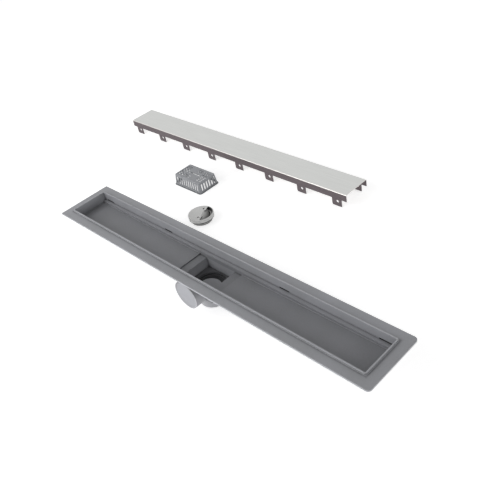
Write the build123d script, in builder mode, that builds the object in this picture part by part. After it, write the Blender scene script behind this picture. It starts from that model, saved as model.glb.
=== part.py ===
"""Linear shower drain: channel with flange, trap with side outlet, trap insert, hair basket, cover.

The channel stands on its trap. The cover, the basket and the insert are lifted out and stand
behind it on the same floor, in the order in which they come off. Sizes are in millimetres.
"""

import os
from math import cos, radians, sin

from build123d import *

os.makedirs("parts", exist_ok=True)

# Channel: one moulding with a flat flange, a raised lip and a stepped trough
channel_length = 700.0
channel_width = 106.0
flange_top = 75.0
flange_thickness = 3.0
flange_corner_right = 6.0
flange_corner_left = 1.5
flange_border = 17.0
flange_edge = 1.0
lip_height = 3.5
lip_wall = 2.5
lip_corner = 3.5
lip_edge = 0.9
lip_foot = 1.0
wall = 2.5
ledge_depth = 13.0
ledge_width = 5.5
floor_depth_end = 18.0
floor_fall = 2.5
floor_fillet = 1.5

# Gussets under the flange, along both long sides
gusset_count = 8
gusset_pitch = 90.0
gusset_thickness = 2.0
gusset_reach = 12.0

# Keyways: short slots at the foot of the two long walls
keyway_length = 20.0
keyway_height = 2.5
keyway_depth = 1.4
keyway_inner_x = 136.0
keyway_outer_x = 313.0

# Sump: a shallow recess in the floor, and a pit in the recess
recess_length = 99.0
recess_step = 2.0
pit_length = 67.0
pit_depth = 41.0
shelf_radius = 20.0
shelf_x = 24.2
shelf_y = -19.6
shelf_thickness = 3.0

# Trap body: round cup under the pit, with a side outlet
cup_seat_gap = 0.3
cup_wall = 2.5
cup_bottom_radius = 23.5
cup_bottom_fillet = 3.0
cup_floor = 2.5
trap_flange_thickness = 3.0
trap_flange_width = 52.0
trap_flange_corner = 6.0
outlet_diameter = 50.0
outlet_wall = 2.5
outlet_height = 45.0
outlet_length = 13.5
outlet_clearance = 0.5
seat_drop = 0.5
seat_support = 2.0
weir_thickness = 2.0
weir_height = 33.0
weir_setback = 6.0

# Gasket and screws between channel and trap body
gasket_thickness = 1.0
screw_x = 39.0
screw_y = 19.0
screw_radius = 2.0
screw_length = 13.0
screw_head_radius = 3.8
screw_head_height = 2.6
screw_head_chamfer = 0.8
screw_recess_radius = 1.3
screw_recess_depth = 1.4
screw_hole_gap = 0.3
screw_margin = 1.2
boss_radius = 4.5

# Outlet plug
plug_gap = 0.15
plug_face = 2.0
plug_skirt = 5.0
plug_skirt_wall = 1.8
plug_inset = 0.4

# Trap insert and its seal
insert_radius = 25.0
insert_band = 7.0
insert_body_radius = 20.0
insert_body_height = 9.0
insert_wall = 1.6
insert_disc = 2.0
insert_edge = 0.6
insert_chord_x = 6.3
insert_baffle_x = 1.5
insert_baffle_end_x = 14.0
insert_baffle_foot = 3.0
insert_baffle_thickness = 1.5
insert_notch_width = 18.0
finger_hole_radius = 2.6
finger_hole_x = 1.2
finger_hole_y = 14.5
seal_thickness = 1.5
seal_margin = 0.4

# Hair basket
basket_bearing = 8.5
basket_side_gap = 1.0
basket_height = 24.0
basket_draft_length = 1.5
basket_draft_width = 3.0
basket_wall = 1.2
basket_corner = 4.0
basket_edge = 1.4
basket_rim_width = 1.4
basket_rim_height = 1.6
side_slot_width = 3.8
side_slot_bottom = 4.5
side_slot_height = 15.5
side_slot_margin = 5.4
long_side_pitch = 7.0
short_side_pitch = 6.8
top_slot_length = 6.8
top_slot_width = 2.4
top_slot_pitch_x = 8.4
top_slot_pitch_y = 4.8
top_end_inset = 11.1
top_end_margin = 7.5
top_middle_rows = 2
top_middle_x = 8.0
top_middle_y = 12.5
centre_slot_length = 36.0
centre_slot_width = 2.4

# Cover plate: folded sheet with tabs
cover_gap = 2.5
cover_thickness = 1.2
cover_bend_radius = 2.0
skirt_height = 15.2
skirt_corner = 3.0
tab_count = 8
tab_width = 22.0
tab_height = 15.4
tab_end_distance = 23.0
tab_corner = 3.0
tab_root_fillet = 1.2
tab_hole_radius = 3.0
tab_hole_drop = 5.2
tab_hole_shift = 1.8

# Places of the lifted pieces, on the floor behind the channel
insert_place = (-185.0, 141.0)
insert_turn = 26.0
basket_place = (-295.0, 225.0)
cover_place = (-295.0, 342.0)

# Tolerances for picking edges and faces by their place and the way they face
touch = 0.01
facing_up = 0.5

# Levels of the channel, above the flat bottom of the trap
flange_under = flange_top - flange_thickness
lip_top = flange_top + lip_height
ledge_top = flange_top - ledge_depth
ledge_under = ledge_top - wall
floor_end = flange_top - floor_depth_end
floor_mid = floor_end - floor_fall
recess_top = floor_mid - recess_step
recess_under = recess_top - wall
pit_floor = flange_top - pit_depth
pit_under = pit_floor - wall

# Plan sizes of the channel
lip_length = channel_length - 2 * flange_border
lip_width = channel_width - 2 * flange_border
opening_length = lip_length - 2 * lip_wall
opening_width = lip_width - 2 * lip_wall
trough_width = opening_width - 2 * ledge_width
trough_outer_width = trough_width + 2 * wall
pit_outer_length = pit_length + 2 * wall
recess_outer_length = recess_length + 2 * wall

# Levels and radii of the trap
trap_top = pit_under - gasket_thickness
trap_flange_under = trap_top - trap_flange_thickness
seat_radius = insert_radius + cup_seat_gap
seat_level = trap_top - seat_drop
cup_top_radius = seat_radius + cup_wall
cup_neck_radius = insert_body_radius + cup_wall
cup_bottom_bore = cup_bottom_radius - cup_wall
outlet_radius = outlet_diameter / 2
outlet_bore = outlet_radius - outlet_wall
outlet_start = lip_width / 2 + outlet_clearance
outlet_reach = outlet_start + outlet_length
outlet_back = trough_outer_width / 2 + outlet_clearance
outlet_back_top = ledge_under - outlet_clearance
duct_roof = seat_level - seat_support
trap_flange_length = 2 * (screw_x + screw_head_radius + screw_margin)
screw_depth = screw_length - trap_flange_thickness - gasket_thickness

# Plan sizes of the basket and the cover
basket_length = pit_length + 2 * basket_bearing
basket_width = trough_width - 2 * basket_side_gap
cover_length = opening_length - 2 * cover_gap
cover_width = opening_width - 2 * cover_gap
cover_top = tab_height + skirt_height


def trough_profile(half_length, end_level, mid_half_length, mid_level, top_level):
    """Side view of the trough: its floor falls from both ends towards the sump."""
    with BuildLine() as outline:
        Polyline(
            (-half_length, top_level),
            (-half_length, end_level),
            (-mid_half_length, mid_level),
            (mid_half_length, mid_level),
            (half_length, end_level),
            (half_length, top_level),
            close=True,
        )
    make_face(outline.edges())


def outlet_segment(radius, level):
    """Part of the outlet's round section that lies below a level."""
    with Locations((0, outlet_height)):
        Circle(radius)
    with Locations((0, level)):
        Rectangle(2 * radius, 2 * radius, align=(Align.CENTER, Align.MAX), mode=Mode.INTERSECT)


def standing(place, turn=0.0):
    """Plane on the floor at a place, turned about the vertical."""
    direction = (cos(radians(turn)), sin(radians(turn)), 0)
    return Plane(origin=(place[0], place[1], 0), x_dir=direction, z_dir=(0, 0, 1))


screw_places = [(x, y) for x in (-screw_x, screw_x) for y in (-screw_y, screw_y)]

# Channel tray
with BuildPart() as channel_tray:
    # Outer form: flange, lip with upper walls, trough, recess and pit
    with BuildSketch(Plane.XY.offset(flange_under)) as flange_plan:
        Rectangle(channel_length, channel_width)
        fillet(flange_plan.vertices().group_by(Axis.X)[-1], flange_corner_right)
        fillet(flange_plan.vertices().group_by(Axis.X)[0], flange_corner_left)
    extrude(amount=flange_thickness)
    fillet(channel_tray.faces().sort_by(Axis.Z)[-1].edges(), flange_edge)
    with BuildSketch(Plane.XY.offset(ledge_under)):
        RectangleRounded(lip_length, lip_width, lip_corner)
    extrude(amount=lip_top - ledge_under)
    flange_face = channel_tray.faces().filter_by(
        lambda f: abs(f.center().Z - flange_top) < touch and f.normal_at().Z > facing_up
    )[0]
    fillet(flange_face.inner_wires()[0].edges(), lip_foot)
    with BuildSketch(Plane.XZ):
        trough_profile(
            lip_length / 2, floor_end - wall, recess_outer_length / 2, floor_mid - wall, ledge_top
        )
    extrude(amount=trough_outer_width / 2, both=True)
    with BuildSketch(Plane.XY.offset(recess_under)):
        Rectangle(recess_outer_length, trough_outer_width)
    extrude(amount=ledge_top - recess_under)
    with BuildSketch(Plane.XY.offset(pit_under)):
        Rectangle(pit_outer_length, trough_outer_width)
    extrude(amount=ledge_top - pit_under)
    with BuildSketch(Plane.XY.offset(pit_under)):
        with Locations(*screw_places):
            Circle(boss_radius)
    extrude(amount=recess_under - pit_under)

    # Gussets between the flange and the walls of the ledges
    for gusset_x in [(k - (gusset_count - 1) / 2) * gusset_pitch for k in range(gusset_count)]:
        with BuildSketch(Plane.YZ.offset(gusset_x)):
            for side in (-1, 1):
                Polygon(
                    (side * lip_width / 2, ledge_under),
                    (side * lip_width / 2, flange_under),
                    (side * (lip_width / 2 + gusset_reach), flange_under),
                    align=None,
                )
        extrude(amount=gusset_thickness / 2, both=True)

    # Inner form: opening down to the ledges, sloping trough, recess and pit
    with BuildSketch(Plane.XY.offset(ledge_top)):
        RectangleRounded(opening_length, opening_width, lip_corner - lip_wall)
    extrude(amount=lip_top - ledge_top, mode=Mode.SUBTRACT)
    fillet(channel_tray.faces().sort_by(Axis.Z)[-1].edges(), lip_edge)
    with BuildSketch(Plane.XZ):
        trough_profile(opening_length / 2, floor_end, recess_length / 2, floor_mid, ledge_top)
    extrude(amount=trough_width / 2, both=True, mode=Mode.SUBTRACT)
    trough_floor = channel_tray.faces().filter_by(
        lambda f: f.normal_at().Z > facing_up
        and floor_mid - touch < f.center().Z < floor_end + touch
        and f.area > trough_width * pit_length
    )
    outer_edges = trough_floor.edges().filter_by(
        lambda e: abs(abs(e.center().Y) - trough_width / 2) < touch
        or abs(abs(e.center().X) - opening_length / 2) < touch
    )
    fillet(outer_edges, floor_fillet)
    with BuildSketch(Plane.XY.offset(recess_top)):
        Rectangle(recess_length, trough_width)
    extrude(amount=ledge_top - recess_top, mode=Mode.SUBTRACT)
    with BuildSketch(Plane.XY.offset(pit_floor)):
        Rectangle(pit_length, trough_width)
    extrude(amount=recess_top - pit_floor, mode=Mode.SUBTRACT)
    with BuildSketch(Plane.XY.offset(pit_under)):
        Circle(seat_radius)
    extrude(amount=wall, mode=Mode.SUBTRACT)

    # Half-round shelf in the near right corner of the pit, level with the recess
    with BuildSketch(Plane.XY.offset(recess_top - shelf_thickness)):
        with Locations((shelf_x, shelf_y)):
            Circle(shelf_radius)
        Rectangle(pit_length, trough_width, mode=Mode.INTERSECT)
    extrude(amount=shelf_thickness)

    # Keyways at the foot of the long walls
    for side in (-1, 1):
        with Locations(
            *[
                (x, side * (opening_width + keyway_depth) / 2, ledge_top + keyway_height / 2)
                for x in (-keyway_outer_x, -keyway_inner_x, keyway_inner_x, keyway_outer_x)
            ]
        ):
            Box(keyway_length, keyway_depth, keyway_height, mode=Mode.SUBTRACT)

    # Pilot holes for the screws
    with BuildSketch(Plane.XY.offset(pit_under)):
        with Locations(*screw_places):
            Circle(screw_radius)
    extrude(amount=screw_depth, mode=Mode.SUBTRACT)
channel_tray.part.label = "channel_tray"

# Trap body: cup, flange and side outlet in one moulding
with BuildPart() as trap_body:
    with BuildSketch(Plane.XZ):
        with BuildLine():
            Polyline(
                (0, 0),
                (cup_bottom_radius, 0),
                (cup_neck_radius + cup_wall, seat_level - 2 * cup_wall),
                (cup_top_radius, seat_level),
                (cup_top_radius, trap_top),
                (0, trap_top),
                close=True,
            )
        make_face()
    revolve(axis=Axis.Z)
    cup_rim = trap_body.edges().filter_by(GeomType.CIRCLE).sort_by(Axis.Z)[0]
    fillet(cup_rim, cup_bottom_fillet)
    with BuildSketch(Plane.XY.offset(trap_flange_under)):
        RectangleRounded(trap_flange_length, trap_flange_width, trap_flange_corner)
    extrude(amount=trap_flange_thickness)
    with BuildSketch(Plane.XZ.offset(outlet_start)):
        with Locations((0, outlet_height)):
            Circle(outlet_radius)
    extrude(amount=outlet_length)
    with BuildSketch(Plane.XZ.offset(outlet_back)):
        outlet_segment(outlet_radius, outlet_back_top)
    extrude(amount=outlet_start - outlet_back)
    with BuildSketch(Plane.XZ):
        outlet_segment(outlet_radius, duct_roof + outlet_wall)
    extrude(amount=outlet_start)

    # Bore of the outlet: a low duct from the cup, higher behind the channel's wall,
    # and full size in front of it
    with BuildSketch(Plane.XZ):
        outlet_segment(outlet_bore, duct_roof)
    extrude(amount=outlet_reach, mode=Mode.SUBTRACT)
    with BuildSketch(Plane.XZ.offset(outlet_back + outlet_wall)):
        outlet_segment(outlet_bore, outlet_back_top - outlet_wall)
    extrude(amount=outlet_reach - outlet_back - outlet_wall, mode=Mode.SUBTRACT)
    with BuildSketch(Plane.XZ.offset(outlet_start + outlet_wall)):
        with Locations((0, outlet_height)):
            Circle(outlet_bore)
    extrude(amount=outlet_length - outlet_wall, mode=Mode.SUBTRACT)

    # Cavity of the cup, with the seat for the insert
    with BuildSketch(Plane.XZ):
        with BuildLine():
            Polyline(
                (0, cup_floor),
                (cup_bottom_bore, cup_floor),
                (cup_neck_radius, seat_level),
                (seat_radius, seat_level),
                (seat_radius, trap_top),
                (0, trap_top),
                close=True,
            )
        make_face()
    revolve(axis=Axis.Z, mode=Mode.SUBTRACT)

    # Weir: half-moon plate that holds the water of the seal
    with BuildSketch(Plane.XZ.offset(outlet_reach - weir_setback)):
        outlet_segment(outlet_bore, weir_height)
    extrude(amount=-weir_thickness)

    # Screw holes
    with BuildSketch(Plane.XY.offset(trap_flange_under)):
        with Locations(*screw_places):
            Circle(screw_radius + screw_hole_gap)
    extrude(amount=trap_flange_thickness, mode=Mode.SUBTRACT)
trap_body.part.label = "trap_body"

# Trap gasket
with BuildPart() as trap_gasket:
    with BuildSketch(Plane.XY.offset(trap_top)):
        RectangleRounded(trap_flange_length, trap_flange_width, trap_flange_corner)
        Circle(cup_top_radius)
        Circle(seat_radius, mode=Mode.SUBTRACT)
        with Locations(*screw_places):
            Circle(screw_radius + screw_hole_gap, mode=Mode.SUBTRACT)
    extrude(amount=gasket_thickness)
trap_gasket.part.label = "trap_gasket"

# Trap screws, driven from below into the bosses of the channel
with BuildPart() as trap_screws:
    with BuildSketch(Plane.XY.offset(trap_flange_under - screw_head_height)):
        with Locations(*screw_places):
            Circle(screw_head_radius)
    extrude(amount=screw_head_height)
    head_rims = trap_screws.edges().filter_by(GeomType.CIRCLE).group_by(Axis.Z)[0]
    chamfer(head_rims, screw_head_chamfer)
    with BuildSketch(Plane.XY.offset(trap_flange_under)):
        with Locations(*screw_places):
            Circle(screw_radius)
    extrude(amount=screw_length)
    with BuildSketch(Plane.XY.offset(trap_flange_under - screw_head_height)):
        with Locations(*screw_places):
            RegularPolygon(screw_recess_radius, 6)
    extrude(amount=screw_recess_depth, mode=Mode.SUBTRACT)
trap_screws.part.label = "trap_screws"

# Outlet plug
with BuildPart() as outlet_plug:
    plug_radius = outlet_bore - plug_gap
    with BuildSketch(Plane.XZ.offset(outlet_reach - plug_inset)):
        with Locations((0, outlet_height)):
            Circle(plug_radius)
    extrude(amount=-plug_skirt)
    with BuildSketch(Plane.XZ.offset(outlet_reach - plug_inset - plug_face)):
        with Locations((0, outlet_height)):
            Circle(plug_radius - plug_skirt_wall)
    extrude(amount=plug_face - plug_skirt, mode=Mode.SUBTRACT)
outlet_plug.part.label = "outlet_plug"

# Trap insert: seat band, smaller body, disc with a segment opening and a sloping baffle
insert_floor = standing(insert_place, insert_turn)
insert_height = insert_band + insert_body_height
band_bore = insert_radius - insert_wall
with BuildPart() as trap_insert:
    # Baffle, trimmed to the outside of the insert
    with BuildSketch(Plane(insert_floor.origin, x_dir=insert_floor.x_dir, z_dir=-insert_floor.y_dir)):
        with BuildLine():
            Polyline(
                (insert_baffle_x, insert_height),
                (insert_baffle_x, insert_height - insert_disc),
                (insert_baffle_end_x - insert_baffle_thickness, insert_baffle_foot),
                (insert_baffle_end_x, insert_baffle_foot),
                (insert_baffle_x + insert_baffle_thickness, insert_height),
                close=True,
            )
        make_face()
    extrude(amount=insert_radius, both=True)
    with BuildSketch(insert_floor):
        Circle(insert_body_radius - insert_wall / 2)
    extrude(amount=insert_height, mode=Mode.INTERSECT)

    # Wall of the body and of the band, with the step between them
    with BuildSketch(insert_floor):
        Circle(insert_body_radius)
        Circle(insert_body_radius - insert_wall, mode=Mode.SUBTRACT)
    extrude(amount=insert_body_height)
    with BuildSketch(insert_floor.offset(insert_body_height)):
        Circle(insert_radius)
        Circle(insert_body_radius - insert_wall, mode=Mode.SUBTRACT)
    extrude(amount=insert_wall)
    with BuildSketch(insert_floor.offset(insert_body_height)):
        Circle(insert_radius)
        Circle(band_bore, mode=Mode.SUBTRACT)
    extrude(amount=insert_band)

    # Disc up to the chord, cut back where the baffle starts, with two finger holes
    with BuildSketch(insert_floor.offset(insert_height - insert_disc)):
        Circle(band_bore)
        with Locations((insert_chord_x, 0)):
            Rectangle(insert_radius, 2 * insert_radius, align=(Align.MIN, Align.CENTER), mode=Mode.SUBTRACT)
        with Locations((insert_baffle_x, 0)):
            Rectangle(insert_radius, insert_notch_width, align=(Align.MIN, Align.CENTER), mode=Mode.SUBTRACT)
        with Locations((finger_hole_x, finger_hole_y), (finger_hole_x, -finger_hole_y)):
            Circle(finger_hole_radius, mode=Mode.SUBTRACT)
    extrude(amount=insert_disc)
    rim_edges = trap_insert.edges().filter_by(GeomType.CIRCLE).group_by(Axis.Z)[-1]
    fillet(rim_edges.filter_by(lambda e: e.radius > band_bore), insert_edge)
trap_insert.part.label = "trap_insert"

# Seal of the insert, under the step of the band
with BuildPart() as insert_seal:
    with BuildSketch(insert_floor.offset(insert_body_height - seal_thickness)):
        Circle(insert_radius - seal_margin)
        Circle(insert_body_radius, mode=Mode.SUBTRACT)
    extrude(amount=seal_thickness)
insert_seal.part.label = "insert_seal"

# Hair basket: inverted tub with slots in its sides and its top
basket_floor = standing(basket_place)
basket_foot = (basket_length - 2 * basket_rim_width, basket_width - 2 * basket_rim_width)
basket_crown = (basket_foot[0] - 2 * basket_draft_length, basket_foot[1] - 2 * basket_draft_width)
long_side_slots = 1 + int((basket_crown[0] - 2 * side_slot_margin) / long_side_pitch)
short_side_slots = 1 + int((basket_crown[1] - 2 * side_slot_margin) / short_side_pitch)
top_end_rows = 1 + int((basket_crown[1] - 2 * top_end_margin) / top_slot_pitch_y)
top_end_x = basket_crown[0] / 2 - top_end_inset
with BuildPart() as hair_basket:
    for shrink, mode in ((0.0, Mode.ADD), (basket_wall, Mode.SUBTRACT)):
        for level, (length, width) in ((0.0, basket_foot), (basket_height - shrink, basket_crown)):
            with BuildSketch(basket_floor.offset(level)):
                RectangleRounded(length - 2 * shrink, width - 2 * shrink, basket_corner - shrink)
        loft(mode=mode)
        if mode == Mode.ADD:
            fillet(hair_basket.faces().sort_by(Axis.Z)[-1].edges(), basket_edge)
            with BuildSketch(basket_floor):
                RectangleRounded(basket_length, basket_width, basket_corner + basket_rim_width)
            extrude(amount=basket_rim_height)

    # Slots in the long and in the short sides
    for along, across, count, pitch in (
        (basket_floor.x_dir, -basket_floor.y_dir, long_side_slots, long_side_pitch),
        (basket_floor.y_dir, basket_floor.x_dir, short_side_slots, short_side_pitch),
    ):
        with BuildSketch(Plane(basket_floor.origin, x_dir=along, z_dir=across)):
            with Locations((0, side_slot_bottom + side_slot_height / 2)):
                with GridLocations(pitch, 1, count, 1):
                    SlotOverall(side_slot_height, side_slot_width, rotation=90)
        extrude(amount=basket_length, both=True, mode=Mode.SUBTRACT)

    # Slots in the top: a block at each end, two small blocks and a long slot in the middle
    with BuildSketch(basket_floor.offset(basket_height)):
        with Locations((-top_end_x, 0), (top_end_x, 0)):
            with GridLocations(top_slot_pitch_x, top_slot_pitch_y, 2, top_end_rows):
                Rectangle(top_slot_length, top_slot_width)
        with Locations((-top_middle_x, -top_middle_y), (top_middle_x, top_middle_y)):
            with GridLocations(top_slot_pitch_x, top_slot_pitch_y, 2, top_middle_rows):
                Rectangle(top_slot_length, top_slot_width)
        Rectangle(centre_slot_length, centre_slot_width)
    extrude(amount=-2 * basket_wall, mode=Mode.SUBTRACT)
hair_basket.part.label = "hair_basket"

# Cover plate: a sheet folded down along both long edges, with a row of tabs on each side
cover_floor = standing(cover_place)
tab_pitch = (cover_length - 2 * tab_end_distance) / (tab_count - 1)
tab_places = [tab_end_distance - cover_length / 2 + k * tab_pitch for k in range(tab_count)]
with BuildSketch() as cover_tab:
    Rectangle(tab_width, tab_height, align=(Align.CENTER, Align.MIN))
    fillet(cover_tab.vertices().group_by(Axis.Y)[0].sort_by(Axis.X)[0], tab_corner)
    with Locations((tab_hole_shift, tab_height - tab_hole_drop)):
        Circle(tab_hole_radius, mode=Mode.SUBTRACT)
with BuildPart() as cover_plate:
    # Folded section along the whole length, down to the feet of the tabs
    with BuildSketch(Plane(cover_floor.origin, x_dir=cover_floor.y_dir, z_dir=cover_floor.x_dir)):
        with BuildLine():
            FilletPolyline(
                (-cover_width / 2, 0),
                (-cover_width / 2, cover_top),
                (cover_width / 2, cover_top),
                (cover_width / 2, 0),
                radius=cover_bend_radius,
            )
            offset(amount=cover_thickness, side=Side.RIGHT)
        make_face()
    extrude(amount=cover_length / 2, both=True)

    # Gaps between the tabs, and the holes in the tabs, through both skirts
    with BuildSketch(Plane(cover_floor.origin, x_dir=cover_floor.x_dir, z_dir=-cover_floor.y_dir)) as gaps:
        Rectangle(cover_length, tab_height, align=(Align.CENTER, Align.MIN))
        with Locations(*[(x, 0) for x in tab_places]):
            add(cover_tab.sketch, mode=Mode.SUBTRACT)
        left_roots = gaps.vertices().filter_by(
            lambda v: abs(v.Y - tab_height) < touch
            and any(abs(v.X - x + tab_width / 2) < touch for x in tab_places)
        )
        fillet(left_roots, tab_root_fillet)
    extrude(amount=cover_width, both=True, mode=Mode.SUBTRACT)

    # Rounded lower corner of both skirts, at the left end
    left_end = cover_place[0] - cover_length / 2
    skirt_ends = cover_plate.edges().filter_by(
        lambda e: abs(e.center().X - left_end) < touch
        and abs(e.center().Z - tab_height) < touch
        and e.length < cover_thickness + touch
    )
    fillet(skirt_ends, skirt_corner)
cover_plate.part.label = "cover_plate"

pieces = (
    channel_tray,
    trap_body,
    trap_gasket,
    trap_screws,
    outlet_plug,
    trap_insert,
    insert_seal,
    hair_basket,
    cover_plate,
)
for piece in pieces:
    export_step(piece.part, f"parts/{piece.part.label}.step")
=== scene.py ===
# Linear shower drain: finishes of the moulded and folded pieces, studio floor, lamps and camera
from math import cos, radians, sin

import bpy
import numpy as np
from mathutils import Matrix, Vector


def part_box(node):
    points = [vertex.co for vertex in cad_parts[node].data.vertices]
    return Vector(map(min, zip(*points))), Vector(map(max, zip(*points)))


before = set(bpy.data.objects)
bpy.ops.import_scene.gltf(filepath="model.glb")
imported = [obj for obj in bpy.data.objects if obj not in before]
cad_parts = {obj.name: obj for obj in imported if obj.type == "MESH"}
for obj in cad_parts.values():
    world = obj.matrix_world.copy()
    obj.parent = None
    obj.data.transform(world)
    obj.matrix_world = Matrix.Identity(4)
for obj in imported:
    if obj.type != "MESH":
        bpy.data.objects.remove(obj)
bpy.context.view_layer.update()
print("frame loaded:", len(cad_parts), "nodes")

mm = 0.001


def linear(hexColour, alpha=1.0):
    # sRGB hex to linear: the low end is a straight line, the rest a power curve
    channels = np.array([int(hexColour[i:i + 2], 16) for i in (1, 3, 5)]) / 255
    straight = channels / 12.92
    curved = ((channels + 0.055) / 1.055) ** 2.4
    return (*np.where(channels <= 0.04045, straight, curved), alpha)


def addNode(tree, kind, links=None, values=None, stops=(), **settings):
    # one node: settings are its own properties, values its sockets, links the sockets fed by others,
    # and stops the places and colours on its ramp
    node = tree.nodes.new(kind)
    for name, value in settings.items():
        setattr(node, name, value)
    for socket, value in (values or {}).items():
        node.inputs[socket].default_value = value
    for socket, source in (links or {}).items():
        tree.links.new(source, node.inputs[socket])
    for number, (position, hexColour) in enumerate(stops):
        node.color_ramp.elements[number].position = position
        node.color_ramp.elements[number].color = linear(hexColour)
    return node


def startMaterial(name):
    material = bpy.data.materials.new(name)
    material.use_nodes = True
    material.node_tree.nodes.clear()
    return material, material.node_tree


def dress(nodeName, material):
    # a CAD node keeps its mesh; only its material slots change
    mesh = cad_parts[nodeName].data
    mesh.materials.clear()
    mesh.materials.append(material)


# Spots paint shade and light into the skin's colour: darker where shade falls in recesses, slots, hollows
# and corners, paler where light is painted on. A spot is a rectangle or a circle in plan, with a soft edge
# inside its outline. With a negative edge it is all that lies outside the outline.
# It covers what is above a height and turned up by a share between two limits: 1 is a floor, 0 a wall and
# -1 an underside. Its tone goes from darkest at the first of two levels to 1 at the second, and a tone
# over 1 is paler. All lengths are in millimetres.
everyFace, notDown, floorsOnly, wallsOnly = (-1.1, 1.1), (-0.5, 1.1), (0.5, 1.1), (-0.3, 0.3)


def spot(half, above, levels, darkest, centre=(0, 0), edge=0.3, isRound=False, turned=notDown):
    return {"half": half, "above": above, "levels": levels, "darkest": darkest, "centre": centre,
            "edge": edge, "isRound": isRound, "turned": turned}


def roundSpot(radius, above, levels, darkest, **others):
    return spot((radius, radius), above, levels, darkest, isRound=True, **others)


def stained(tree, place, height, upward, values):
    centre, half = ([side * mm for side in values[name]] for name in ("centre", "half"))
    offset = addNode(tree, "ShaderNodeVectorMath", {0: place}, {1: (*centre, 0)},
                     operation="SUBTRACT").outputs["Vector"]
    if values["isRound"]:
        flat = addNode(tree, "ShaderNodeVectorMath", {0: offset}, {1: (1, 1, 0)}, operation="MULTIPLY")
        reach = addNode(tree, "ShaderNodeVectorMath", {0: flat.outputs["Vector"]}, operation="LENGTH")
        beyond = addNode(tree, "ShaderNodeMath", {0: reach.outputs["Value"]}, {1: half[0]},
                         operation="SUBTRACT")
    else:
        sides = addNode(tree, "ShaderNodeVectorMath", {0: offset}, operation="ABSOLUTE")
        sides = addNode(tree, "ShaderNodeVectorMath", {0: sides.outputs["Vector"]}, {1: (*half, 0)},
                        operation="SUBTRACT")
        sides = addNode(tree, "ShaderNodeSeparateXYZ", {"Vector": sides.outputs["Vector"]})
        beyond = addNode(tree, "ShaderNodeMath", {0: sides.outputs["X"], 1: sides.outputs["Y"]},
                         operation="MAXIMUM")
    inside = addNode(tree, "ShaderNodeMapRange", {"Value": beyond.outputs[0]},
                     {"From Min": -values["edge"] * mm, "From Max": 0.0, "To Min": 1.0, "To Max": 0.0})
    above = addNode(tree, "ShaderNodeMath", {0: height}, {1: values["above"] * mm}, operation="GREATER_THAN")
    lowest, highest = values["turned"]
    turned = addNode(tree, "ShaderNodeMath", {0: upward},
                     {1: (lowest + highest) / 2, 2: (highest - lowest) / 2}, operation="COMPARE")
    mask = addNode(tree, "ShaderNodeMath", {0: inside.outputs["Result"], 1: above.outputs[0]},
                   operation="MULTIPLY")
    mask = addNode(tree, "ShaderNodeMath", {0: mask.outputs[0], 1: turned.outputs[0]}, operation="MULTIPLY")
    low, high = values["levels"]
    depth = addNode(tree, "ShaderNodeMapRange", {"Value": height},
                    {"From Min": low * mm, "From Max": high * mm, "To Min": values["darkest"], "To Max": 1.0})
    return addNode(tree, "ShaderNodeMix", {"Factor": mask.outputs[0], "B": depth.outputs["Result"]},
                   {"A": 1.0}).outputs["Result"]
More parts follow.
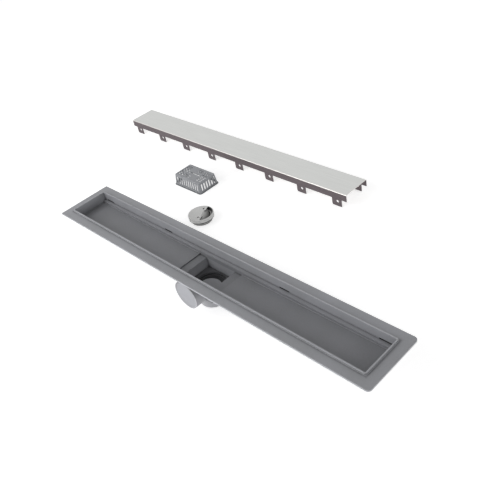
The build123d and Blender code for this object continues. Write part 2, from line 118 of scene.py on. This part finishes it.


# Injection-moulded plastic
# Its mould is spark-eroded, so the skin is satin with a fine grain that breaks up the highlights.
# Slow flow of the melt leaves faint cloudy tone changes a few centimetres across. Shade is painted darker
# into grooves, deep corners and spots, light is painted paler onto other spots, and a painted highlight runs
# along the top of the lip.
def mouldedPlastic(name, finish):
    material, tree = startMaterial(name)
    place = addNode(tree, "ShaderNodeTexCoord").outputs["Object"]

    cloud = addNode(tree, "ShaderNodeTexNoise", {"Vector": place},
                    {"Scale": 1 / (finish["cloudSize"] * mm), "Detail": 2.0, "Roughness": 0.5})
    speck = addNode(tree, "ShaderNodeTexNoise", {"Vector": place},
                    {"Scale": 1 / (finish["speckSize"] * mm), "Detail": 3.0, "Roughness": 0.6})
    both = addNode(tree, "ShaderNodeMix", {"A": cloud.outputs["Fac"], "B": speck.outputs["Fac"]},
                   {"Factor": finish["speckShare"]})
    low, high = finish["noiseSpan"]
    tone = addNode(tree, "ShaderNodeValToRGB", {"Fac": both.outputs["Result"]},
                   stops=((low, finish["dark"]), (high, finish["light"])))

    # painted shade in grooves: open sky over a point within reach, from 0 in a slot to 1 on an open face,
    # darkens the colour
    openSky = addNode(tree, "ShaderNodeAmbientOcclusion", values={"Distance": finish["grooveReach"] * mm},
                      only_local=True)
    dust = addNode(tree, "ShaderNodeMapRange", {"Value": openSky.outputs["AO"]},
                   {"From Min": finish["grooveFrom"], "From Max": finish["grooveTo"],
                    "To Min": finish["grooveTone"], "To Max": 1.0})
    shade = dust.outputs["Result"]
    height = addNode(tree, "ShaderNodeSeparateXYZ", {"Vector": place}).outputs["Z"]
    normal = addNode(tree, "ShaderNodeNewGeometry").outputs["True Normal"]
    upward = addNode(tree, "ShaderNodeSeparateXYZ", {"Vector": normal}).outputs["Z"]
    # spots of painted shade and painted light darken or lighten the colour
    for values in finish["spots"].values():
        shade = addNode(tree, "ShaderNodeMath", {0: shade, 1: stained(tree, place, height, upward, values)},
                        operation="MULTIPLY").outputs[0]
    toned = addNode(tree, "ShaderNodeMix", {"A": tone.outputs["Color"], "B": shade},
                    {"Factor": 1.0}, data_type="RGBA", blend_type="MULTIPLY").outputs["Result"]
    # a painted highlight lightens the colour between two heights
    rubbed = addNode(tree, "ShaderNodeMapRange", {"Value": height},
                     {"From Min": finish["paintedHighlightFrom"] * mm, "From Max": finish["paintedHighlightTo"] * mm})
    toned = addNode(tree, "ShaderNodeMix", {"Factor": rubbed.outputs["Result"], "A": toned},
                    {"B": linear(finish["rubbed"])}, data_type="RGBA").outputs["Result"]

    gloss = addNode(tree, "ShaderNodeMapRange", {"Value": cloud.outputs["Fac"]},
                    {"From Min": low, "From Max": high,
                     "To Min": finish["roughness"] - finish["roughnessSpread"],
                     "To Max": finish["roughness"] + finish["roughnessSpread"]})
    # where shade is painted darker, the skin turns matt, which dulls the highlight there
    gloss = addNode(tree, "ShaderNodeMix", {"Factor": shade, "B": gloss.outputs["Result"]},
                    {"A": finish["paintedShadeRoughness"]})

    grain = addNode(tree, "ShaderNodeTexNoise", {"Vector": place},
                    {"Scale": 1 / (finish["grainSize"] * mm), "Detail": 2.0, "Roughness": 0.7})
    skin = addNode(tree, "ShaderNodeBump", {"Height": grain.outputs["Fac"]},
                   {"Strength": finish["grainStrength"], "Distance": finish["grainDepth"] * mm})

    surface = addNode(tree, "ShaderNodeBsdfPrincipled",
                      {"Base Color": toned, "Roughness": gloss.outputs["Result"],
                       "Normal": skin.outputs["Normal"]},
                      {"IOR": finish["ior"]})
    addNode(tree, "ShaderNodeOutputMaterial", {"Surface": surface.outputs["BSDF"]})
    return material


# the outer corner of the flange in plan, at the height of the lip's top
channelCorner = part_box("channel_tray")[1] / mm


def inset(along, across):
    # half sizes in plan of a rectangle inside the flange's outline
    return (channelCorner.x - along, channelCorner.y - across)


trough = inset(18.3, 23.8)
recess, pit = (50.0, trough[1]), (34.5, trough[1])
underRecess, underPit = 52.4, 33.0    # just below the floors of the two
underHole = 31.0                      # just below the foot of the hole in the pit's floor
keyways = {"x": (-313.0, -136.0, 136.0, 313.0), "y": (-34.3, 34.3), "half": (10.2, 0.7)}

channelFinish = {
    "dark": "#898a8d", "light": "#96979c",    # mid grey ABS
    "noiseSpan": (0.3, 0.7),                  # what the noise of the tones mostly stays between
    "rubbed": "#9b9ca0",                      # painted highlight along the top of the lip
    "paintedHighlightFrom": channelCorner.z - 0.8,
    "paintedHighlightTo": channelCorner.z - 0.1,
    "roughness": 0.42, "roughnessSpread": 0.05,
    "paintedShadeRoughness": 1.0, "ior": 1.5,
    "cloudSize": 60.0,                        # mm, flow clouds
    "speckSize": 2.0, "speckShare": 0.45,     # mm, and their share of the tone
    "grainSize": 0.9, "grainDepth": 0.05,     # mm; the real grain is about 0.1 mm, drawn coarser to show
    "grainStrength": 0.35,
    # painted shade in grooves and deep corners: how far it looks for cover, and its tones
    "grooveReach": 6.0,                       # mm
    "grooveFrom": 0.2, "grooveTo": 0.8, "grooveTone": 0.2,
    "spots": {
        # painted shade darkens the trough's floor and walls, and more towards both of its ends
        "trough": spot(trough, underRecess, levels=(58.0, 62.0), darkest=0.73),
        "leftEnd": spot((22.0, 40.0), underRecess, levels=(62.0, 74.0), darkest=0.65,
                        centre=(-trough[0], -10.0), edge=20.0),
        "rightEnd": spot((60.0, 40.0), underRecess, levels=(58.0, 64.0), darkest=0.86,
                         centre=(trough[0], 0.0), edge=50.0),
        # painted light on a stretch of the trough floor
        "paintedLightOnFloor": spot((140.0, trough[1]), underRecess, levels=(58.0, 62.0), darkest=1.06,
                            centre=(-190.0, 0.0), edge=10.0),
        # painted shade in the basket recess
        "recess": spot(recess, underRecess, levels=(52.6, 54.4), darkest=0.93),
        # painted light on the pit's walls
        "pitWalls": spot(pit, underPit, levels=(40.0, 58.0), darkest=1.4, turned=wallsOnly),
        # painted shade on the pit's floor, round the hole and in it
        "pitFloor": spot(pit, underPit, levels=(34.5, 40.0), darkest=0.4, turned=floorsOnly),
        "roundTheHole": roundSpot(38.0, underPit, levels=(35.0, 41.0), darkest=0.8, edge=10.0),
        "hole": roundSpot(26.5, underHole, levels=(40.0, 41.0), darkest=0.4),
        # painted shade on the flange along the foot of the lip
        "footOfTheLip": spot(inset(13.5, 13.5), above=74.5, levels=(75.2, 75.6), darkest=0.72, edge=2.5,
                             turned=floorsOnly),
        # painted highlight along the outer edge of the flange
        "flangeEdge": spot(inset(11.0, 11.0), above=71.9, levels=(74.6, 75.0), darkest=1.8, edge=-0.3,
                           turned=wallsOnly),
        # painted shade in the keyways
        **{f"keyway {x} {y}": spot(keyways["half"], above=61.9, levels=(64.6, 64.7), darkest=0.15,
                                   centre=(x, y), edge=0.1, turned=everyFace)
           for x in keyways["x"] for y in keyways["y"]},
    },
}

unrubbed = {"paintedHighlightFrom": 500.0, "paintedHighlightTo": 501.0}    # mm, above every piece, so none of them gets the painted highlight
trapFinish = dict(
    channelFinish, **unrubbed, dark="#b4b4b9", light="#bfbfc3", roughness=0.45,
    spots={
        # painted shade inside the cup and on its seat
        "cup": roundSpot(23.0, above=2.0, levels=(40.0, 41.0), darkest=0.2),
        "seat": roundSpot(25.6, above=29.5, levels=(40.0, 41.0), darkest=0.15),
        # painted shadow of the flange on the top of the pipe, darker higher up
        "topOfThePipe": spot((32.0, 26.0), above=40.0, levels=(68.0, 48.0), darkest=0.5,
                             centre=(0.0, -62.0), edge=6.0),
    })
plugFinish = dict(channelFinish, **unrubbed, dark="#a1a2a8", light="#abacb1", spots={})


def centreOf(nodeName):
    low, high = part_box(nodeName)
    return ((low.x + high.x) / 2 / mm, (low.y + high.y) / 2 / mm)


insertPlace = centreOf("trap_insert")
fingerHoles = {"x": 1.2, "y": 14.5, "reach": 4.0, "turn": 26.0}    # mm, degrees


def fingerHolePlace(side):
    x, y, turn = fingerHoles["x"], side * fingerHoles["y"], radians(fingerHoles["turn"])
    return (insertPlace[0] + x * cos(turn) - y * sin(turn), insertPlace[1] + x * sin(turn) + y * cos(turn))


# the wide band of the insert is above 9 mm and its narrower body below
insertFinish = dict(
    channelFinish, **unrubbed, dark="#cacac8", light="#dededd", roughness=0.5, speckSize=1.2, speckShare=0.7,
    # a wider and darker painted shade in grooves
    grainSize=0.7, grainDepth=0.06, grooveReach=20.0, grooveTone=0.15,
    spots={
        # painted shade inside the band and the body, on the step between them, on the outside of the body
        # under the band, and in the finger holes
        "insideTheBand": roundSpot(24.2, above=9.2, levels=(40.0, 41.0), darkest=0.2, centre=insertPlace,
                                   turned=wallsOnly),
        "insideTheBody": roundSpot(19.2, above=-1.0, levels=(40.0, 41.0), darkest=0.2, centre=insertPlace,
                                   turned=wallsOnly),
        "stepToTheBand": roundSpot(19.4, above=6.0, levels=(12.0, 12.1), darkest=0.3, centre=insertPlace,
                                   edge=-0.3, turned=floorsOnly),
        "outsideOfTheBody": roundSpot(19.8, above=-1.0, levels=(8.9, 9.0), darkest=0.6, centre=insertPlace,
                                      edge=-0.1, turned=wallsOnly),
        **{f"fingerHole {side}": roundSpot(fingerHoles["reach"], above=-1.0, levels=(13.9, 14.0),
                                           darkest=0.15, centre=fingerHolePlace(side), turned=everyFace)
           for side in (-1, 1)},
    })
basketFinish = dict(
    channelFinish, **unrubbed, dark="#8a8c90", light="#97999d", roughness=0.45, grainStrength=0.2,
    # a lighter painted shade in grooves
    grooveTone=0.4,
    spots={
        # the rim is darker towards its foot, below 1.5 mm
        "rim": spot((43.0, 28.0), above=-1.0, levels=(1.5, 1.8), darkest=0.65,
                    centre=centreOf("hair_basket"), turned=everyFace),
    })

dress("channel_tray", mouldedPlastic("spark eroded grey ABS", channelFinish))
dress("trap_body", mouldedPlastic("light grey ABS", trapFinish))
dress("outlet_plug", mouldedPlastic("light grey plug ABS", plugFinish))
dress("trap_insert", mouldedPlastic("warm light grey polypropylene", insertFinish))
dress("hair_basket", mouldedPlastic("smooth grey polypropylene", basketFinish))
print("moulded pieces dressed")


# Moulded rubber: nearly black and matt, with a fine dusty bloom
rubberFinish = {"dark": "#161617", "light": "#232325", "roughness": 0.8, "bloomSize": 3.0}    # bloom in mm


def mouldedRubber(name, finish):
    material, tree = startMaterial(name)
    place = addNode(tree, "ShaderNodeTexCoord").outputs["Object"]
    bloom = addNode(tree, "ShaderNodeTexNoise", {"Vector": place},
                    {"Scale": 1 / (finish["bloomSize"] * mm), "Detail": 3.0})
    tone = addNode(tree, "ShaderNodeValToRGB", {"Fac": bloom.outputs["Fac"]},
                   stops=((0.0, finish["dark"]), (1.0, finish["light"])))
    surface = addNode(tree, "ShaderNodeBsdfPrincipled", {"Base Color": tone.outputs["Color"]},
                      {"Roughness": finish["roughness"]})
    addNode(tree, "ShaderNodeOutputMaterial", {"Surface": surface.outputs["BSDF"]})
    return material


rubber = mouldedRubber("moulded EPDM rubber", rubberFinish)
dress("trap_gasket", rubber)
dress("insert_seal", rubber)


# Stainless sheet: the top is brushed along its length and bright,
# the folded skirts are painted darker and warmer, a painted dark reflection
coverFinish = {
    "topDark": "#c7c8c6", "topLight": "#cfd0ce",
    # painted dark reflection on the skirts
    "skirtDark": "#665f62", "skirtLight": "#72696c",
    # painted highlight along the bend
    "bend": "#d9d6d3",
    "bendRadius": 2.0, "bendMargin": 0.05,    # mm
    "topRoughness": 0.34, "skirtRoughness": 0.5,
    "brushPitch": 0.8,                        # mm; the real scratches are about 0.1 mm apart
    "brushLength": 60.0,                      # mm
    "brushDepth": 0.01,                       # mm
    "brushStrength": 0.25,
    "brushSpan": (0.35, 0.65),                # what the noise of the brushing mostly stays between
    "bendHighlightBetween": (0.1, 0.4),             # shares of the bend's height where the skirt tone turns into the painted highlight
    "brushedBetween": (0.9, 1.0),             # and where the painted highlight turns brushed
}


def stainlessSheet(name, finish, topHeight):
    material, tree = startMaterial(name)
    place = addNode(tree, "ShaderNodeTexCoord").outputs["Object"]
    height = addNode(tree, "ShaderNodeSeparateXYZ", {"Vector": place}).outputs["Z"]
    # 0 at the foot of the bend and on the skirts below it, 1 on the top
    onTop = addNode(tree, "ShaderNodeMapRange", {"Value": height},
                    {"From Min": topHeight - finish["bendRadius"] * mm,
                     "From Max": topHeight - finish["bendMargin"] * mm}).outputs["Result"]

    stretched = addNode(tree, "ShaderNodeMapping", {"Vector": place},
                        {"Scale": (1 / (finish["brushLength"] * mm), 1 / (finish["brushPitch"] * mm),
                                   1 / (finish["brushPitch"] * mm))})
    brush = addNode(tree, "ShaderNodeTexNoise", {"Vector": stretched.outputs["Vector"]},
                    {"Scale": 1.0, "Detail": 3.0, "Roughness": 0.6}).outputs["Fac"]

    low, high = finish["brushSpan"]
    skirtTone = addNode(tree, "ShaderNodeValToRGB", {"Fac": brush},
                        stops=((low, finish["skirtDark"]), (high, finish["skirtLight"])))
    topTone = addNode(tree, "ShaderNodeValToRGB", {"Fac": brush},
                      stops=((low, finish["topDark"]), (high, finish["topLight"])))
    # a painted highlight runs along the bend: skirt, bend and top in turn as the height rises
    overBend, overTop = (
        addNode(tree, "ShaderNodeMapRange", {"Value": onTop}, {"From Min": ends[0], "From Max": ends[1]})
        for ends in (finish["bendHighlightBetween"], finish["brushedBetween"]))
    tone = addNode(tree, "ShaderNodeMix",
                   {"Factor": overBend.outputs["Result"], "A": skirtTone.outputs["Color"]},
                   {"B": linear(finish["bend"])}, data_type="RGBA")
    tone = addNode(tree, "ShaderNodeMix",
                   {"Factor": overTop.outputs["Result"], "A": tone.outputs["Result"],
                    "B": topTone.outputs["Color"]}, data_type="RGBA")
    gloss = addNode(tree, "ShaderNodeMapRange", {"Value": onTop},
                    {"To Min": finish["skirtRoughness"], "To Max": finish["topRoughness"]})
    scratches = addNode(tree, "ShaderNodeBump", {"Height": brush},
                        {"Strength": finish["brushStrength"], "Distance": finish["brushDepth"] * mm})
    surface = addNode(tree, "ShaderNodeBsdfPrincipled",
                      {"Base Color": tone.outputs["Result"], "Roughness": gloss.outputs["Result"],
                       "Normal": scratches.outputs["Normal"]},
                      {"Metallic": 1.0})
    addNode(tree, "ShaderNodeOutputMaterial", {"Surface": surface.outputs["BSDF"]})
    return material


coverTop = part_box("cover_plate")[1].z
dress("cover_plate", stainlessSheet("brushed stainless sheet", coverFinish, coverTop))

# the screws are turned from the same steel, so their marks are short and close together
# they keep the sheet's painted highlight at the bend and its painted darker sides
screwFinish = dict(coverFinish, topDark="#a9a9a7", topLight="#b8b8b5", skirtDark="#9b9b99",
                   skirtLight="#adadab", brushPitch=0.3, brushLength=3.0)
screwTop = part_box("trap_screws")[1].z
dress("trap_screws", stainlessSheet("turned stainless steel", screwFinish, screwTop))
print("metal and rubber pieces dressed")


# Studio: a pale floor that stays white in the picture and keeps the shadow, and soft lamps
studio = {
    "floorSize": 14.0,                        # m
    "floorColour": "#dcdcdc",
    "whiteShare": 0.62,                       # light of its own that only the white rays see
    "wallStrength": 1.35, "ceilingStrength": 0.12,
    "lamps": {                                # power in W, size and place in m
        "keyLamp": {"power": 12.0, "size": 1.2, "place": (-0.7, -1.1, 0.8)},
        "fillLamp": {"power": 3.0, "size": 2.4, "place": (1.6, 0.4, 2.2)},
    },
    "aim": (-0.15, 0.12, 0.03),               # m, what both lamps point at
}


def whiteRays(tree):
    # 1 for camera, mirror and glass rays, which see the surroundings white, and 0 for the rays that light
    rays = addNode(tree, "ShaderNodeLightPath").outputs
    white = rays["Is Camera Ray"]
    for kind in ("Is Glossy Ray", "Is Transmission Ray"):
        white = addNode(tree, "ShaderNodeMath", {0: white, 1: rays[kind]},
                        operation="ADD", use_clamp=True).outputs[0]
    return white


def makeFloor(values):
    half = values["floorSize"] / 2
    corners = [(-half, -half, 0), (half, -half, 0), (half, half, 0), (-half, half, 0)]
    mesh = bpy.data.meshes.new("studioFloor")
    mesh.from_pydata(corners, [], [(0, 1, 2, 3)])
    floor = bpy.data.objects.new("studioFloor", mesh)
    bpy.context.scene.collection.objects.link(floor)
    material, tree = startMaterial("pale studio paper")
    share = addNode(tree, "ShaderNodeMath", {0: whiteRays(tree)}, {1: values["whiteShare"]},
                    operation="MULTIPLY")
    paper = addNode(tree, "ShaderNodeBsdfDiffuse", values={"Color": linear(values["floorColour"])})
    glow = addNode(tree, "ShaderNodeEmission", {"Strength": share.outputs[0]})
    both = addNode(tree, "ShaderNodeAddShader", {0: paper.outputs[0], 1: glow.outputs[0]})
    addNode(tree, "ShaderNodeOutputMaterial", {"Surface": both.outputs[0]})
    mesh.materials.append(material)


def makeLamp(name, values, aim):
    light = bpy.data.lights.new(name, "AREA")
    light.energy = values["power"]
    light.size = values["size"]
    lamp = bpy.data.objects.new(name, light)
    bpy.context.scene.collection.objects.link(lamp)
    direction = Vector(aim) - Vector(values["place"])
    turn = direction.to_track_quat("-Z", "Y").to_matrix().to_4x4()
    lamp.matrix_world = Matrix.Translation(values["place"]) @ turn


def makeSky(values):
    # soft light, stronger from the walls of the room than from its ceiling
    world = bpy.data.worlds.new("studioSky")
    world.use_nodes = True
    tree = world.node_tree
    tree.nodes.clear()
    direction = addNode(tree, "ShaderNodeTexCoord").outputs["Generated"]
    height = addNode(tree, "ShaderNodeSeparateXYZ", {"Vector": direction}).outputs["Z"]
    level = addNode(tree, "ShaderNodeMapRange", {"Value": height},
                    {"To Min": values["wallStrength"], "To Max": values["ceilingStrength"]})
    room = addNode(tree, "ShaderNodeBackground", {"Strength": level.outputs["Result"]},
                   {"Color": (1, 1, 1, 1)})
    white = addNode(tree, "ShaderNodeBackground", values={"Color": (1, 1, 1, 1), "Strength": 1.0})
    both = addNode(tree, "ShaderNodeMixShader",
                   {0: whiteRays(tree), 1: room.outputs[0], 2: white.outputs[0]})
    addNode(tree, "ShaderNodeOutputWorld", {"Surface": both.outputs[0]})
    bpy.context.scene.world = world


makeFloor(studio)
for name, lamp in studio["lamps"].items():
    makeLamp(name, lamp, studio["aim"])
makeSky(studio)
print("studio set")

# Camera: the photograph's station and direction, with its slight roll
view = {
    "azimuth": 52.419, "elevation": 36.456, "roll": -12.444,    # degrees
    "place": (0.66587, -0.43502, 0.69067),                      # m
    "focalPixels": 639.19, "imagePixels": 480,
    "sensor": 36.0,                                             # mm
    "nearest": 0.01, "furthest": 50.0,                          # m
}


def makeCamera(values):
    azimuth, elevation, roll = (radians(values[k]) for k in ("azimuth", "elevation", "roll"))
    forward = Vector((-sin(azimuth) * cos(elevation), cos(azimuth) * cos(elevation), -sin(elevation)))
    level = forward.cross(Vector((0, 0, 1))).normalized()
    upright = level.cross(forward)
    right = cos(roll) * level + sin(roll) * upright
    up = cos(roll) * upright - sin(roll) * level
    data = bpy.data.cameras.new("photoCamera")
    data.sensor_width = values["sensor"]
    data.lens = values["focalPixels"] * values["sensor"] / values["imagePixels"]
    data.clip_start = values["nearest"]
    data.clip_end = values["furthest"]
    camera = bpy.data.objects.new("photoCamera", data)
    bpy.context.scene.collection.objects.link(camera)
    turn = Matrix((right, up, -forward)).transposed().to_4x4()
    camera.matrix_world = Matrix.Translation(values["place"]) @ turn
    bpy.context.scene.camera = camera


makeCamera(view)
bpy.context.scene.view_settings.view_transform = "Standard"
print("camera set")
